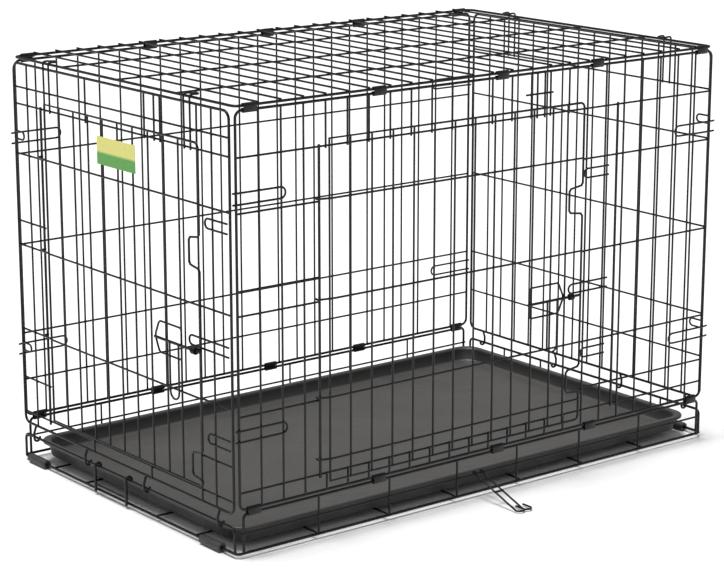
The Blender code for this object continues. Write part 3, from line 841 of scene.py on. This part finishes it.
def make_card(print_finish):
    """The card on the end door, very slightly bowed."""
    low, high = box_mm("label_card")
    centre = (low + high) / 2
    half_y = (high.y - low.y) / 2
    half_z = (high.z - low.z) / 2
    bm = bmesh.new()
    columns = 16
    rows = 8
    grid = {}
    for side, x in ((0, low.x), (1, high.x)):
        for i in range(columns + 1):
            for j in range(rows + 1):
                y = half_y * (2 * i / columns - 1)
                z = half_z * (2 * j / rows - 1)
                bow = 0.25 * math.cos(math.tau * i / columns)
                grid[side, i, j] = bm.verts.new(Vector((x + bow, centre.y + y, centre.z + z)) * MM)
    for side in (0, 1):
        for i in range(columns):
            for j in range(rows):
                corners = ((i, j), (i + 1, j), (i + 1, j + 1), (i, j + 1))
                bm.faces.new([grid[(side, *corner)] for corner in corners])
    rim = [(i, 0) for i in range(columns)] + [(columns, j) for j in range(rows)]
    rim += [(i, rows) for i in range(columns, 0, -1)] + [(0, j) for j in range(rows, 0, -1)]
    for k, here in enumerate(rim):
        there = rim[(k + 1) % len(rim)]
        bm.faces.new((grid[(0, *here)], grid[(0, *there)], grid[(1, *there)], grid[(1, *here)]))
    finish_mesh("printed_card", bm, print_finish, "left_door", ["label_card"])


# ---------------------------------------------------------------- camera, floor and lights


def make_camera():
    """The view from the front left, a little above the crate's top."""
    data = bpy.data.cameras.new("camera")
    camera = bpy.data.objects.new("camera", data)
    bpy.context.scene.collection.objects.link(camera)
    camera.location = at(-2246.5, -2834.6, 1161.2)
    yaw = math.radians(38.25)
    pitch = math.radians(13.92)
    ahead = Vector((math.sin(yaw) * math.cos(pitch), math.cos(yaw) * math.cos(pitch), -math.sin(pitch)))
    camera.rotation_euler = ahead.to_track_quat("-Z", "Y").to_euler()
    data.sensor_width = 36.0
    data.lens = 117.45
    data.clip_end = 50.0
    bpy.context.scene.camera = camera


def make_floor(finish):
    """A wide plain floor."""
    bm = bmesh.new()
    bmesh.ops.create_grid(bm, x_segments=8, y_segments=8, size=40.0)
    mesh = bpy.data.meshes.new("floor")
    bm.to_mesh(mesh)
    bm.free()
    mesh.materials.append(finish)
    floor = bpy.data.objects.new("floor", mesh)
    bpy.context.scene.collection.objects.link(floor)


def area_light(name, place, target, size, power):
    data = bpy.data.lights.new(name, "AREA")
    data.shape = "RECTANGLE"
    data.size, data.size_y = size
    data.energy = power
    light = bpy.data.objects.new(name, data)
    bpy.context.scene.collection.objects.link(light)
    light.location = place
    light.rotation_euler = (Vector(target) - Vector(place)).to_track_quat("-Z", "Y").to_euler()


def make_lights():
    data = bpy.data.lights.new("studio_ceiling", "SUN")
    data.energy = 3.5
    data.angle = math.radians(24.0)
    ceiling = bpy.data.objects.new("studio_ceiling", data)
    bpy.context.scene.collection.objects.link(ceiling)
    ceiling.rotation_euler = Vector((0.12, -0.10, -1.0)).to_track_quat("-Z", "Y").to_euler()
    area_light("front_left", (-2.6, -2.6, 2.2), (0.0, 0.0, 0.3), (1.2, 1.2), 8.0)
    world = bpy.data.worlds.new("studio")
    world.use_nodes = True
    world.node_tree.nodes["Background"].inputs["Color"].default_value = (1.0, 1.0, 1.0, 1.0)
    world.node_tree.nodes["Background"].inputs["Strength"].default_value = 0.32
    bpy.context.scene.world = world
    bpy.context.scene.view_settings.view_transform = "Standard"


def make_crate():
    steel = coated_steel("black_coated_wire", (0.004, 0.004, 0.005), (0.009, 0.009, 0.010), 0.26)
    sheet_steel = coated_steel("black_clip_steel", (0.006, 0.006, 0.007), (0.012, 0.012, 0.013), 0.30)
    make_base(steel)
    make_pan_stop(steel)
    make_closing_hook(steel)
    make_front_side(steel)
    make_back_side(steel)
    make_top(steel)
    make_left_end(steel)
    make_right_end(steel)
    make_front_door(steel)
    make_left_door(steel)
    make_bolt("front_bolt", front_place, 168.0, 63.0, (101.0, 121.0), 286.0, steel)
    make_bolt("left_bolt", left_place, -232.0, -115.0, (-156.0, -178.0), 289.0, steel)
    make_pan(pan_plastic())
    feet = foot_plastic()
    for node in [name for name in frame["nodes"] if name.startswith("foot_")]:
        make_foot(node, feet)
    for body, nodes in frame["record"]["behaviour"]["bodies"].items():
        for node in nodes:
            if "_clip_" in node:
                make_clip(node, body, sheet_steel)
    make_card(card_print())


make_camera()
make_lights()
make_floor(floor_paper())
make_crate()
